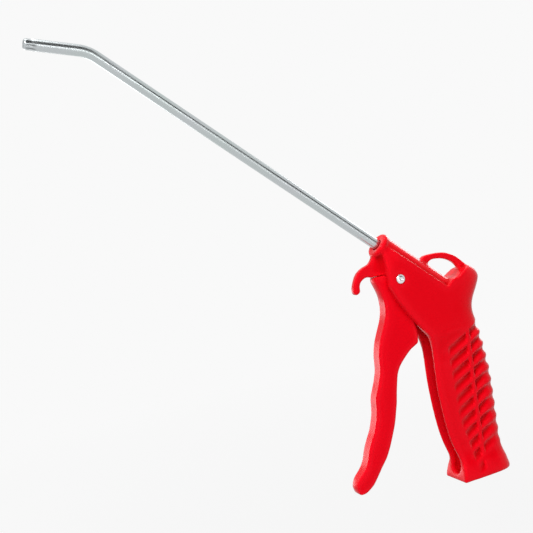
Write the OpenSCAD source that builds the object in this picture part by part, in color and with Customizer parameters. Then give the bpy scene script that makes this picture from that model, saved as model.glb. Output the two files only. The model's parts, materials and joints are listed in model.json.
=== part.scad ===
// Pneumatic air duster: a moulded blow gun with a long bent steel nozzle.
// +Z runs up the grip from the air inlet, the nozzle points towards -X, and Y = 0 is
// the plane of symmetry. The origin is the centre of the inlet's mouth, in the flat
// face under the grip. Lengths are in millimetres and angles in degrees.

/* [Grip] */
// Height of the ribbed grip, from its base to the cheeks
grip_h = 87; // [82:1:95]
// Depth of the grip from front to rear, at its middle
grip_depth = 37.6; // [37:0.2:42]
// Width of the grip, at its middle
grip_w = 14.8; // [14.2:0.2:17]
// Length of the flared collar at the foot of the grip
collar_len = 35; // [34:0.5:38]
// Width of the flared collar
collar_w = 22; // [21.5:0.5:25]
// Height of the flared collar
collar_h = 11; // [9:0.5:13]
// Clear distance between the walls of the front channel
channel_w = 8.6; // [8.4:0.1:9.4]
// Thickness of solid grip between the front channel and the air passage
channel_back = 5.8; // [4:0.2:7]
/* [Grip ribs] */
// Number of ribs down the grip
rib_rows = 11; // [7:1:11]
// Distance from one rib to the next
rib_pitch = 7.55; // [6.8:0.05:7.6]
// Height of the hollow between two ribs
hollow_h = 6.2; // [4.6:0.1:6.4]
// Depth of the hollow where it meets the plain stripe
hollow_depth = 1.9; // [1.2:0.1:2.1]
// Depth of the hollow at the very back of the grip
tooth_depth = 1; // [0.6:0.1:1.2]
// Width of the plain stripe between the two columns of hollows
stripe_w = 2.4; // [1.8:0.1:3.4]
// Angle at which the ribs rise towards the rear
rib_rise = 20; // [8:1:24]

/* [Head] */
// Height of the pivot above the top of the grip
cheek_h = 38.3; // [37:0.5:41]
// Distance of the pivot ahead of the inlet's axis
pivot_ahead = 34.3; // [33:0.2:36]
// Distance from the pivot forward to the front face of the cheeks
cheek_nose = 7; // [6.4:0.2:8]
// Reach of the rear bump behind the inlet's axis
head_rear = 20.5; // [19.5:0.1:23]
// Width across the two cheeks
cheek_w = 17.4; // [17:0.2:20]

/* [Barrel] */
// Angle of the barrel above the horizontal
barrel_angle = 42.5; // [41:0.5:44]
// Distance of the barrel's axis above the pivot, square to the axis
barrel_rise = 11.05; // [10.9:0.1:12]
// Distance of the mouth ahead of the pivot, along the barrel
mouth_ahead = 19.3; // [18.5:0.2:21]
// Diameter of the barrel's rounded top
barrel_d = 13.8; // [13.2:0.2:15]
// Width across the flat sides of the barrel
barrel_w = 12.6; // [12:0.2:13.2]
// Diameter of the bead around the mouth
mouth_ring_d = 15.2; // [14.8:0.1:16.6]
// Length of the bead around the mouth
mouth_ring_len = 3.4; // [3:0.2:4.4]
// Height of the cheeks' ledge above the barrel's axis
ledge_rise = 1; // [0.5:0.1:1.6]

/* [Hook and loop] */
// Thickness of the hanging hook under the mouth
hook_t = 4; // [3:0.2:5]
// Reach of the hook ahead of the cheeks
hook_reach = 19.4; // [18:0.2:21]
// Height of the hook from its tip to the barrel
hook_h = 21.5; // [20.5:0.5:23]
// Thickness of the hanging loop
loop_t = 4; // [3:0.2:6]
// Length of the hanging loop along the barrel
loop_len = 29; // [28:0.5:30]
// Height of the loop above the barrel's axis
loop_rise = 20.4; // [20:0.2:22]
// Width of the loop's rim
loop_rim = 3.7; // [3:0.1:4.4]

/* [Lever] */
// Width of the lever
lever_w = 8; // [7:0.1:8.2]
// Distance from the pivot down to the lever's tip
lever_drop = 114.1; // [108:1:118]
// Distance from the pivot forward to the lever's tip
lever_reach = 46.7; // [45:0.5:50]
// Diameter of the lever's boss round the pivot
boss_d = 10.4; // [9.6:0.2:10.8]

/* [Pivot rivet] */
// Diameter of the rivet's shank
rivet_d = 4; // [3.4:0.1:4.6]
// Diameter of the rivet's head and washer
rivet_head_d = 5.3; // [5.2:0.1:6.4]
// Height that the head stands proud of the cheek
rivet_head_h = 0.7; // [0.5:0.1:1]
// Thickness of the washer under the closed end
washer_t = 0.6; // [0.5:0.1:0.8]

/* [Nozzle] */
// Outer diameter of the steel tube
tube_d = 6; // [5:0.1:6.2]
// Wall thickness of the steel tube
tube_wall = 0.9; // [0.7:0.1:1.2]
// Length of the tube from the mouth to the point of the bend
tube_len = 189; // [120:1:240]
// Length of the tube from the point of the bend to its end
tip_len = 31.5; // [24:0.5:45]
// Angle through which the tube is bent down
bend_angle = 28.3; // [10:0.5:40]
// Radius of the bend at the middle of the tube
bend_r = 20; // [16:1:24]
// Diameter of the swaged end of the tube
swage_d = 5; // [4.6:0.1:5]
// Length of the swaged end
swage_len = 5; // [4:0.5:8]
// Diameter of the jet at the end of the tube
jet_d = 2.2; // [1.6:0.1:3]
// Outer diameter of the threaded ferrule on the tube
ferrule_d = 8.2; // [8:0.1:8.6]
// Length of the threaded ferrule
ferrule_len = 12; // [9:0.5:13]
// Distance of the ferrule's face inside the mouth
ferrule_inset = 2.2; // [1.6:0.1:3]

/* [Valve] */
// Distance of the valve's axis below the pivot
valve_drop = 11.8; // [11.6:0.1:12.2]
// Diameter of the valve stem
stem_d = 4; // [3.4:0.1:4.4]
// Diameter of the stem's thin end, inside the seat
stem_tail_d = 2.4; // [2:0.1:2.8]
// Length of stem that stands out of the gland at rest
stem_out = 8.6; // [8.4:0.1:9]
// Diameter of the threaded gland
gland_d = 9; // [8.8:0.1:9.2]
// Length of the gland's threaded body
gland_len = 4.6; // [4.2:0.1:4.8]
// Diameter of the bore that holds the cage and the seat
cage_bore_d = 8.4; // [8.2:0.1:8.8]
// Length of the cage between the gland and the seat
cage_len = 7.4; // [7:0.1:7.6]
// Thickness of the valve seat
seat_t = 3; // [2.6:0.1:3.2]
// Diameter of the hole through the valve seat
seat_bore_d = 4.6; // [4:0.1:4.8]
// Diameter of the poppet
poppet_d = 5.8; // [5.6:0.1:6]
// Thickness of the poppet
poppet_t = 4.1; // [3.6:0.1:4.4]
// Thickness of the rubber disc on the poppet
seal_t = 1.2; // [1:0.1:1.6]
// Length of the valve spring at rest
spring_len = 12; // [11:0.5:12]
// Diameter of the spring's wire
spring_wire_d = 0.7; // [0.5:0.1:0.8]
// Mean diameter of the spring's coils
spring_d = 4.9; // [4.7:0.1:5]
// Number of the spring's coils
spring_turns = 6; // [4:1:7]

/* [Air inlet] */
// Diameter over the crests of the inlet's inner thread
inlet_d = 13.16; // [12:0.1:13.2]
// Outer diameter of the brass insert
insert_d = 15.6; // [15.2:0.1:15.8]
// Diameter of the air passage up the grip
air_d = 6; // [5:0.2:6.4]
// Diameter of the air passage from the valve to the nozzle
outlet_d = 3.4; // [2.8:0.1:3.6]

/* [Hidden] */
$fn = 48;

// Clearances: parts that are fixed together, parts that run, and the lever's sides
fixed_gap = 0.02;
running_gap = 0.05;
overrun = 20;
// Least wall left outside a bore
least_wall = 1.1;

// Places that the other parts follow
pivot_x = -pivot_ahead;
pivot_z = grip_h + cheek_h;
mouth_x = pivot_x - mouth_ahead * cos(barrel_angle) + barrel_rise * sin(barrel_angle);
mouth_z = pivot_z + mouth_ahead * sin(barrel_angle) + barrel_rise * cos(barrel_angle);
cheek_front = pivot_x - cheek_nose;
valve_z = pivot_z - valve_drop;
insert_len = 0.86 * collar_h;
inlet_depth = 0.73 * collar_h;

// Chain of places along the valve's axis, from the lever back
pad_share = 0.1435;
pad_back = pad_share * lever_reach;
stem_tip_x = pivot_x + pad_back + running_gap;
gland_x = stem_tip_x + stem_out;
gland_end_x = gland_x + gland_len;
gland_ring_gap = 1.2;
cage_x = gland_end_x + gland_ring_gap;
seat_x = cage_x + cage_len + fixed_gap;
chamber_x = seat_x + seat_t;
seal_x = chamber_x + fixed_gap;
poppet_x = seal_x + seal_t + fixed_gap;
spring_x = poppet_x + poppet_t + fixed_gap;
chamber_end_x = spring_x + spring_len + fixed_gap;
chamber_d = poppet_d + 0.15 * air_d;

// Sizes of the sealing rings: each fills the gap between its seat and its bore
gland_nose_d = cage_bore_d - 10 * running_gap;
gland_bore_d = gland_d + 2 * running_gap;
gland_ring_d = (gland_bore_d - gland_nose_d) / 2 - 2 * fixed_gap;
gland_ring_mid_r = (gland_bore_d + gland_nose_d) / 4;
packing_d = stem_d + 0.27 * gland_d;
packing_len_share = 0.45;
packing_len = packing_len_share * gland_len;
stem_ring_d = (packing_d - stem_d) / 2 - 2 * running_gap;
seat_groove_share = 0.12;
seat_groove = seat_groove_share * cage_bore_d;

// Lever: shares of the drop below the pivot, the forward reach and the rear place,
// from the nose under the hook down the finger curves to the tip
lever_row_shares = [
    [-0.0275, 0.274, 0.130], [-0.010, 0.290, 0.050], [0.011, 0.274, -0.080],
    [0.046, 0.247, -0.1435], [0.082, 0.220, -0.1435], [0.110, 0.208, -0.1435],
    [0.152, 0.215, -0.1435], [0.187, 0.238, -0.136], [0.222, 0.278, -0.142],
    [0.257, 0.321, -0.159], [0.292, 0.361, -0.167], [0.327, 0.388, -0.156],
    [0.345, 0.398, -0.138], [0.364, 0.405, -0.038], [0.397, 0.411, 0.066],
    [0.432, 0.415, 0.154], [0.467, 0.442, 0.204], [0.502, 0.472, 0.230],
    [0.537, 0.513, 0.252], [0.564, 0.539, 0.268], [0.607, 0.552, 0.290],
    [0.651, 0.573, 0.323], [0.686, 0.605, 0.349], [0.721, 0.639, 0.382],
    [0.752, 0.686, 0.417], [0.804, 0.753, 0.478], [0.835, 0.777, 0.521],
    [0.863, 0.806, 0.566], [0.897, 0.875, 0.641], [0.923, 0.958, 0.693],
    [0.948, 1.012, 0.745], [0.972, 1.020, 0.800], [0.990, 1.007, 0.870],
    [1.000, 0.987, 0.925]
];
// Section of the lever: shares of its width, back from the front face and out from
// the middle, with a shallow line along each side just behind the finger face
lever_face_shares = [
    [0.38, 0.50], [0.33, 0.46], [0.21, 0.46], [0.16, 0.50], [0.06, 0.44], [0, 0.30],
    [-0.045, 0]
];
lever_back_shares = [[0, 0.30], [0.03, 0.42], [0.13, 0.485]];
lever_full_depth = 9;

// Grip and head: the place up the body, then front, rear, half width and half width
// at the front. The collar's rows are shares of the collar, the grip's of the grip,
// and the head's of the cheeks' height, the pivot's reach and the rear bump
collar_row_shares = [
    [0, 0.500, 0.516, 0.50, 0.485], [0.23, 0.488, 0.518, 0.50, 0.485],
    [0.64, 0.456, 0.466, 0.464, 0.436], [1, 0.434, 0.448, 0.391, 0.355]
];
grip_row_shares = [
    [0.172, 0.426, 0.420, 0.527, 0.466], [0.230, 0.472, 0.424, 0.500, 0.446],
    [0.322, 0.522, 0.439, 0.493, 0.439], [0.437, 0.554, 0.452, 0.493, 0.439],
    [0.575, 0.573, 0.460, 0.500, 0.439], [0.713, 0.576, 0.458, 0.514, 0.446],
    [0.828, 0.561, 0.433, 0.534, 0.459], [0.920, 0.552, 0.407, 0.560, 0.493]
];
head_row_shares = [
    [0.02, 0.523, 0.680, 0.985], [0.13, 0.591, 0.625, 1], [0.29, 0.690, 0.592, 1],
    [0.44, 0.787, 0.700, 1], [0.55, 0.845, 0.835, 1], [0.64, 0.896, 0.935, 1],
    [0.72, 0.932, 1.000, 1], [0.80, 0.961, 0.980, 1], [0.87, 0.985, 0.895, 1],
    [0.92, 1.000, 0.780, 1], [0.96, 1.000, 0.600, 1]
];
// Shape of a section: the rear arc starts this share of the depth ahead of the rear
rear_arc_share = 0.40;
rear_arc_power = 2.8;
front_corner_share = 0.035;

// Outline of the hook: shares of its reach ahead of the cheeks and of its height
// below the barrel, and back from its underside
hook_front_shares = [
    [-0.20, -0.16], [0.08, -0.02], [0.21, 0.14], [0.355, 0.295], [0.57, 0.355],
    [0.77, 0.455], [0.90, 0.60], [1.00, 0.80], [1.02, 0.92], [0.98, 1.01], [0.865, 1.00],
    [0.80, 0.93], [0.79, 0.80], [0.71, 0.70], [0.585, 0.64], [0.48, 0.635], [0.39, 0.665]
];
// Outline of the loop, as shares of its length behind its front foot and of its rise
loop_shares = [
    [0, 0.30], [0.02, 0.46], [0.12, 0.62], [0.275, 0.80], [0.41, 0.92], [0.50, 0.96],
    [0.65, 1.01], [0.83, 1.005], [1.00, 0.98]
];
loop_hole_shares = [
    [0.20, 0.305], [0.176, 0.37], [0.21, 0.51], [0.34, 0.66], [0.50, 0.77], [0.68, 0.815],
    [0.83, 0.775], [0.875, 0.70], [0.84, 0.52], [0.79, 0.305]
];
loop_foot_share = 1.49;

// Plan of the core left inside a row of hollows, behind the stripe: shares of the way to
// the rear and of the half width
hollow_arc_shares = [[0, 1], [0.35, 0.985], [0.60, 0.86], [0.80, 0.64], [0.93, 0.36]];
side_run_share = 0.26;
rear_reach_share = 0.46;
// Levels of the core of a hollow: shares of the hollow's height and of its depth
waist_shares = [[-0.51, 0], [0.17, 1], [0.51, 0]];

// A smooth curve through control rows, each a list of numbers
function smooth(rows, steps) = [
    for (i = [0:len(rows) - 2], k = [0:steps - 1])
        let (
            t = k / steps,
            a = rows[max(i - 1, 0)],
            b = rows[i],
            c = rows[i + 1],
            d = rows[min(i + 2, len(rows) - 1)]
        )
        b + t * (c - a) / 2 + t * t * (a - 2.5 * b + 2 * c - d / 2)
            + t * t * t * (1.5 * b - a / 2 - 1.5 * c + d / 2),
    rows[len(rows) - 1]
];

// Joins closed sections of equal length into one solid
module loft(sections) {
    n = len(sections[0]);
    m = len(sections);
    points = [for (s = sections, p = s) p];
    sides = [
        for (i = [0:m - 2], j = [0:n - 1])
            let (a = i * n + j, b = i * n + (j + 1) % n)
            each [[a, a + n, b], [b, a + n, b + n]]
    ];
    bottom = [for (j = [0:n - 1]) j];
    top = [for (j = [n - 1:-1:0]) (m - 1) * n + j];
    polyhedron(points, concat(sides, [bottom, top]));
}

// Half of a section, given from the middle out, closed by its mirror image
function mirrored(half) = concat(
    half,
    [for (i = [len(half) - 1:-1:0]) if (half[i][1] > 0) [half[i][0], -half[i][1], half[i][2]]]
);

// Level section of the body: rounded behind, flat sides, small corners in front
function body_section(z, front, rear, half, front_half) =
    let (
        arc = rear_arc_share * (rear + front),
        mid = rear - arc,
        corner = front_corner_share * (rear + front)
    )
    mirrored(concat(
        [
            for (a = [0:15:90])
                [mid + arc * pow(cos(a), 2 / rear_arc_power), half * pow(sin(a), 2 / rear_arc_power), z]
        ],
        [
            [corner - front, front_half, z],
            [corner / 3 - front, front_half - corner / 4, z],
            [-front, front_half - corner, z]
        ]
    ));

body_controls = concat(
    [
        for (r = collar_row_shares)
            [r[0] * collar_h, r[1] * collar_len, r[2] * collar_len, r[3] * collar_w, r[4] * collar_w]
    ],
    [
        for (r = grip_row_shares)
            [r[0] * grip_h, r[1] * grip_depth, r[2] * grip_depth, r[3] * grip_w, r[4] * grip_w]
    ],
    [
        for (r = head_row_shares)
            [grip_h + r[0] * cheek_h, -r[1] * cheek_front, r[2] * head_rear,
             r[3] * cheek_w / 2, r[3] * cheek_w / 2]
    ]
);
head_top = [
    grip_h + 1.6 * cheek_h, -cheek_front, head_rear / 2, cheek_w / 2, cheek_w / 2
];
body_rows = concat(smooth(body_controls, 2), [head_top]);

// Places its children at the mouth, with Z running back down the barrel and X up
module on_barrel() {
    translate([mouth_x, 0, mouth_z])
        rotate([0, 90 + barrel_angle, 0])
            mirror([1, 0, 0])
                children();
}

// Extrudes a side view, drawn in X and Z, to a width centred on the middle plane
module side_view(width) {
    rotate([90, 0, 0])
        linear_extrude(height = width, center = true)
            children();
}

// Extrudes a view drawn along and above the barrel, to a width centred on Y
module barrel_view(width) {
    on_barrel()
        rotate([90, 0, 0])
            linear_extrude(height = width, center = true)
                rotate([0, 0, 90])
                    mirror([0, 1, 0])
                        children();
}

// Disc or rod along the valve's axis
module along_valve(x, length, d) {
    translate([x, 0, valve_z])
        rotate([0, 90, 0])
            cylinder(d = d, h = length);
}

// Sealing ring round an axis along Z
module o_ring(mid_r, section_d) {
    rotate_extrude()
        translate([mid_r, 0])
            circle(d = section_d, $fn = 24);
}

// Everything above the cheeks' ledge and above the rear bump
module above_ledge() {
    ledge_end_share = 1.68;
    bump_top_z = grip_h + 0.935 * cheek_h;
    shoulder_z = valve_z + chamber_d / 2 + least_wall;
    side_view(2 * cheek_w)
        polygon([
            [cheek_front - overrun, pivot_z + 3 * overrun],
            [mouth_x - overrun * cos(barrel_angle), mouth_z + overrun * sin(barrel_angle) + ledge_rise],
            [mouth_x + ledge_end_share * loop_len * cos(barrel_angle) + ledge_rise * sin(barrel_angle),
             mouth_z - ledge_end_share * loop_len * sin(barrel_angle) + ledge_rise * cos(barrel_angle)],
            [0.01 * head_rear, shoulder_z],
            [0.19 * head_rear, shoulder_z + 0.01 * cheek_h],
            [0.45 * head_rear, bump_top_z - 0.035 * cheek_h],
            [0.7 * head_rear, bump_top_z],
            [2 * head_rear, bump_top_z],
            [2 * head_rear, pivot_z + 3 * overrun]
        ]);
}

// Slopes the cheeks in towards the barrel near the mouth
module cheek_ramps() {
    ramp_len = 0.7 * mouth_ahead;
    for (side = [-1, 1])
        on_barrel()
            rotate([0, 90, 0])
                linear_extrude(height = 4 * barrel_d, center = true)
                    polygon([
                        [mouth_ring_len, side * barrel_w * 0.45],
                        [-ramp_len, side * cheek_w * 0.52],
                        [-ramp_len, side * cheek_w],
                        [mouth_ring_len + overrun, side * cheek_w],
                        [mouth_ring_len + overrun, side * barrel_w * 0.45]
                    ]);
}

// Round-topped barrel with flat sides
module barrel_shell() {
    on_barrel()
        intersection() {
            cylinder(d = barrel_d, h = 2.8 * mouth_ahead);
            translate([-barrel_d / 2 - overrun, -barrel_w / 2, 0])
                cube([barrel_d + 2 * overrun, barrel_w, 3 * mouth_ahead]);
        }
}

// Rounded bead around the mouth
module mouth_ring() {
    round_r = mouth_ring_len / 2;
    on_barrel()
        rotate_extrude() {
            square([mouth_ring_d / 2 - round_r, mouth_ring_len]);
            translate([mouth_ring_d / 2 - round_r, round_r])
                circle(r = round_r, $fn = 32);
        }
}

module hook() {
    side_view(hook_t)
        polygon(concat(
            [
                for (p = smooth(hook_front_shares, 3))
                    [cheek_front - p[0] * hook_reach, pivot_z + 0.835 * hook_h - p[1] * hook_h]
            ],
            [
                [cheek_front, pivot_z + cheek_nose / 2],
                [cheek_front + cheek_nose / 2, pivot_z + cheek_nose],
                [pivot_x, mouth_z - cheek_nose]
            ]
        ));
}

// Concave fillets where the hook's plate meets the front of the cheeks
module hook_fillets() {
    fillet_r = 0.16 * cheek_w;
    base_z = pivot_z + 0.5 * cheek_nose;
    for (side = [0, 1])
        mirror([0, side, 0])
            translate([cheek_front, hook_t / 2, base_z])
                linear_extrude(height = barrel_rise)
                    difference() {
                        translate([-fillet_r, -hook_t / 4])
                            square([fillet_r + hook_t / 4, fillet_r + hook_t / 4]);
                        translate([-fillet_r, fillet_r])
                            circle(r = fillet_r);
                    }
}

module hang_loop() {
    barrel_view(loop_t)
        difference() {
            polygon(concat(
                [for (p = smooth(loop_shares, 3)) loop_point(p)],
                [loop_point([0.97, 0.5]), loop_point([0.8, 0]), loop_point([0, 0])]
            ));
            polygon([for (p = smooth(loop_hole_shares, 3)) loop_point(p)]);
        }
}

// Place in the barrel's view of a share of the loop's length and rise
function loop_point(p) = [mouth_ahead * loop_foot_share + p[0] * loop_len, p[1] * loop_rise];

// Space between the cheeks for the lever, running down into the grip's channel
module lever_slot() {
    slot_top = pivot_z + cheek_nose / 2;
    shelf_z = valve_z - gland_d * 0.61;
    floor_x = -air_d / 2 - channel_back;
    foot_z = collar_h * 0.72;
    side_view(channel_w)
        polygon([
            [cheek_front - overrun, slot_top],
            [gland_x, slot_top],
            [gland_x, shelf_z],
            [floor_x, shelf_z - (floor_x - gland_x)],
            [floor_x, grip_h / 3],
            [floor_x - channel_back / 2, foot_z],
            [cheek_front - overrun, foot_z]
        ]);
    translate([pivot_x, 0, pivot_z])
        rotate([90, 0, 0])
            cylinder(d = boss_d + 20 * running_gap, h = channel_w, center = true);
    translate([floor_x - channel_back / 2, 0, foot_z])
        rotate([0, -90, 0])
            cylinder(d = channel_w, h = collar_len);
}

// One row of hollows at a height on the body's middle line: a slab less a core that is
// waisted close under the rib above. The core stands proud at the stripe, fades out
// towards the front and allows for the tilt of the slab
module hollow_row(row_z, stripe_x) {
    back_x = stripe_x + stripe_w / 2;
    side_x = stripe_x - stripe_w / 2;
    side_run = side_run_share * grip_depth * (0.55 + 0.5 * row_z / grip_h);
    half = body_size(row_z, 3);
    proud = half + stripe_w / 4;
    rear_rise = rear_reach_share * grip_depth * sin(rib_rise);
    translate([0, 0, row_z])
        rotate([0, -rib_rise, 0])
            difference() {
                translate([side_x - side_run, -collar_w, -hollow_h / 2])
                    cube([grip_depth, 2 * collar_w, hollow_h]);
                loft([
                    for (level = waist_shares)
                        let (
                            z = level[0] * hollow_h,
                            deep = level[1],
                            out = (1 - deep) * stripe_w / 8,
                            floor_y = half + out - deep * hollow_depth,
                            rear_x = body_size(row_z + rear_rise + z, 2) + out - deep * tooth_depth,
                            end_x = rear_x / cos(rib_rise) + z * tan(rib_rise)
                        )
                        mirrored(concat(
                            [[end_x, 0, z]],
                            [
                                for (i = [len(hollow_arc_shares) - 1:-1:0])
                                    let (p = hollow_arc_shares[i])
                                    [back_x + p[0] * (end_x - back_x), p[1] * floor_y, z]
                            ],
                            [
                                [back_x, proud, z],
                                [side_x, proud, z],
                                [side_x, floor_y, z],
                                [side_x - side_run / 2, floor_y + deep * hollow_depth / 3, z],
                                [side_x - side_run, proud, z],
                                [side_x - 1.1 * side_run, proud, z]
                            ]
                        ))
                ]);
            }
}

// Size of the body at a height: 1 its front, 2 its rear, 3 its half width
function body_size(z, which) = lookup(z, [for (r = body_rows) [r[0], r[which]]]);

module grip_hollows() {
    top_z = 0.949 * grip_h;
    for (i = [0:rib_rows - 1])
        let (z = top_z - i * rib_pitch)
        hollow_row(z, (0.11 * z / grip_h - 0.02) * grip_depth);
}

// Bores of the barrel: mouth, ferrule and the way to the valve
module barrel_bores() {
    reach = (mouth_z - valve_z - cage_bore_d / 2) / sin(barrel_angle) + tube_wall * 2;
    outlet_rise = outlet_d / 5;
    on_barrel() {
        translate([0, 0, -overrun])
            cylinder(d = 1.03 * ferrule_d, h = overrun + ferrule_inset);
        cylinder(d = ferrule_d + 2 * fixed_gap, h = ferrule_inset + ferrule_len + ring_space());
        translate([outlet_rise, 0, 0])
            cylinder(d = outlet_d, h = reach);
    }
}

// Length of barrel that the nozzle's sealing ring takes up
function ring_space() = (ferrule_d - tube_d) / 2 + 4 * running_gap;

// Stepped bore for the valve, open to the lever's slot
module valve_bores() {
    along_valve(gland_x - running_gap, cage_x - gland_x + running_gap, gland_bore_d);
    along_valve(gland_x, chamber_x - gland_x, cage_bore_d);
    along_valve(gland_x, chamber_end_x - gland_x, chamber_d);
}

module housing() {
    color([0.84, 0.02, 0.06])
        difference() {
            union() {
                difference() {
                    union() {
                        difference() {
                            loft([for (r = body_rows) body_section(r[0], r[1], r[2], r[3], r[4])]);
                            above_ledge();
                            cheek_ramps();
                        }
                        barrel_shell();
                        mouth_ring();
                        hook_fillets();
                        hang_loop();
                    }
                    lever_slot();
                }
                hook();
            }
            grip_hollows();
            barrel_bores();
            valve_bores();
            cylinder(d = air_d, h = valve_z);
            translate([0, 0, -overrun])
                cylinder(d = insert_d + 2 * fixed_gap, h = overrun + insert_len + fixed_gap);
            translate([pivot_x, 0, pivot_z])
                rotate([90, 0, 0])
                    cylinder(d = rivet_d + 2 * fixed_gap, h = 2 * cheek_w, center = true);
        }
}

// Level section of the lever between its front and its rear
function lever_section(z, front, rear) =
    let (depth = rear - front, k = min(1, depth / lever_full_depth))
    mirrored(concat(
        [for (p = lever_back_shares) [rear - p[0] * lever_w * k, p[1] * lever_w, z]],
        [for (p = lever_face_shares) [front + p[0] * lever_w * k, p[1] * lever_w, z]]
    ));

module lever() {
    rows = smooth(lever_row_shares, 2);
    color([0.86, 0.03, 0.07])
        difference() {
            union() {
                loft([
                    for (i = [len(rows) - 1:-1:0])
                        lever_section(
                            pivot_z - rows[i][0] * lever_drop,
                            pivot_x - rows[i][1] * lever_reach,
                            pivot_x - rows[i][2] * lever_reach
                        )
                ]);
                translate([pivot_x, 0, pivot_z])
                    rotate([90, 0, 0])
                        cylinder(d = boss_d, h = lever_w, center = true);
            }
            translate([pivot_x, 0, pivot_z])
                rotate([90, 0, 0])
                    cylinder(d = rivet_d + 2 * running_gap, h = 2 * lever_w, center = true);
        }
}

// Solid rivet with a dimpled head on each side of the cheeks
module pivot_rivet() {
    half = cheek_w / 2 + fixed_gap;
    washer_side = half + washer_t + fixed_gap;
    color([0.80, 0.81, 0.83])
        translate([pivot_x, 0, pivot_z])
            rotate([90, 0, 0])
                difference() {
                    union() {
                        translate([0, 0, -washer_side])
                            cylinder(d = rivet_d, h = washer_side + half);
                        translate([0, 0, half])
                            cylinder(d1 = rivet_head_d, d2 = 0.8 * rivet_head_d, h = rivet_head_h);
                        translate([0, 0, -washer_side - rivet_head_h])
                            cylinder(d1 = 0.7 * rivet_head_d, d2 = 0.9 * rivet_head_d, h = rivet_head_h);
                    }
                    translate([0, 0, half + rivet_head_h / 2])
                        cylinder(d = 0.3 * rivet_head_d, h = rivet_head_h);
                    translate([0, 0, -washer_side - 2 * rivet_head_h])
                        cylinder(d = 0.5 * rivet_d, h = 3 * rivet_head_h);
                }
}

module rivet_washer() {
    color([0.72, 0.73, 0.75])
        translate([pivot_x, cheek_w / 2 + 1.5 * fixed_gap + washer_t / 2, pivot_z])
            rotate([90, 0, 0])
                difference() {
                    cylinder(d = 1.25 * rivet_head_d, h = washer_t, center = true);
                    cylinder(d = rivet_d + 2 * fixed_gap, h = 2 * washer_t, center = true);
                }
}

// Tube round a given profile radius: straight run, bend and swaged tip as one body
module tube_body(d, tip_d, start, run_on) {
    turn = bend_r * tan(bend_angle / 2);
    on_barrel()
        mirror([0, 0, 1]) {
            translate([0, 0, -start])
                cylinder(d = d, h = start + tube_len - turn);
            translate([-bend_r, 0, tube_len - turn])
                rotate([90, 0, 0])
                    rotate_extrude(angle = bend_angle)
                        translate([bend_r, 0])
                            circle(d = d);
            translate([-bend_r, 0, tube_len - turn])
                rotate([0, -bend_angle, 0])
                    translate([bend_r, 0, 0]) {
                        cylinder(d = d, h = tip_len - turn - swage_len);
                        translate([0, 0, tip_len - turn - swage_len])
                            cylinder(d1 = d, d2 = tip_d, h = swage_len / 4);
                        translate([0, 0, tip_len - turn - 0.75 * swage_len])
                            cylinder(d = tip_d, h = 0.75 * swage_len + run_on);
                    }
        }
}

module nozzle_tube() {
    tube_start = ferrule_inset + ferrule_len + ring_space();
    color([0.72, 0.76, 0.77])
        difference() {
            tube_body(tube_d, swage_d, tube_start, 0);
            tube_body(tube_d - 2 * tube_wall, jet_d, tube_start + overrun, overrun);
        }
}

module nozzle_ferrule() {
    color([0.80, 0.66, 0.34])
        on_barrel()
            translate([0, 0, ferrule_inset])
                difference() {
                    cylinder(d = ferrule_d, h = ferrule_len);
                    translate([0, 0, -ferrule_len])
                        cylinder(d = tube_d + 2 * fixed_gap, h = 3 * ferrule_len);
                }
}

module nozzle_o_ring() {
    section = (ferrule_d - tube_d) / 2 - 2 * fixed_gap;
    color([0.08, 0.08, 0.09])
        on_barrel()
            translate([0, 0, ferrule_inset + ferrule_len + fixed_gap + section / 2])
                o_ring((ferrule_d + tube_d) / 4, section);
}

module inlet_insert() {
    color([0.80, 0.66, 0.34])
        difference() {
            cylinder(d = insert_d, h = insert_len);
            translate([0, 0, -overrun])
                cylinder(d = inlet_d, h = overrun + inlet_depth);
            cylinder(d = air_d, h = 2 * insert_len);
        }
}

// Threaded gland with a nose that carries the cage, and a recess for the packing ring
module valve_gland() {
    color([0.80, 0.66, 0.34])
        difference() {
            union() {
                along_valve(gland_x, gland_len, gland_d);
                along_valve(gland_x, cage_x - gland_x - fixed_gap, gland_nose_d);
            }
            along_valve(gland_x - overrun, 2 * overrun, stem_d + 2 * running_gap);
            along_valve(gland_end_x + gland_ring_gap - packing_len, overrun, packing_d);
        }
}

module gland_o_ring() {
    color([0.08, 0.08, 0.09])
        translate([gland_end_x + gland_ring_gap / 2, 0, valve_z])
            rotate([0, 90, 0])
                o_ring(gland_ring_mid_r, gland_ring_d);
}

module stem_o_ring() {
    color([0.10, 0.10, 0.11])
        translate([cage_x - packing_len + fixed_gap + stem_ring_d / 2, 0, valve_z])
            rotate([0, 90, 0])
                o_ring((packing_d + stem_d) / 4, stem_ring_d);
}

// Washer that keeps the packing ring in the gland
module stem_washer() {
    washer_x = cage_x - packing_len + 2 * fixed_gap + stem_ring_d;
    color([0.82, 0.80, 0.72])
        difference() {
            along_valve(washer_x, cage_x - 2 * fixed_gap - washer_x, packing_d - 2 * fixed_gap);
            along_valve(washer_x - overrun, 2 * overrun, stem_d + 2 * running_gap);
        }
}

// Spacer ring with side windows that let the air through to the barrel
module valve_cage() {
    window_d = 0.58 * cage_len;
    color([0.80, 0.66, 0.34])
        difference() {
            along_valve(cage_x, cage_len, cage_bore_d - 2 * fixed_gap);
            along_valve(cage_x - overrun, 2 * overrun, 0.78 * cage_bore_d);
            for (turn = [0, 90])
                translate([cage_x + cage_len / 2, 0, valve_z])
                    rotate([turn, 0, 0])
                        cylinder(d = window_d, h = 2 * cage_bore_d, center = true);
        }
}

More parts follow.
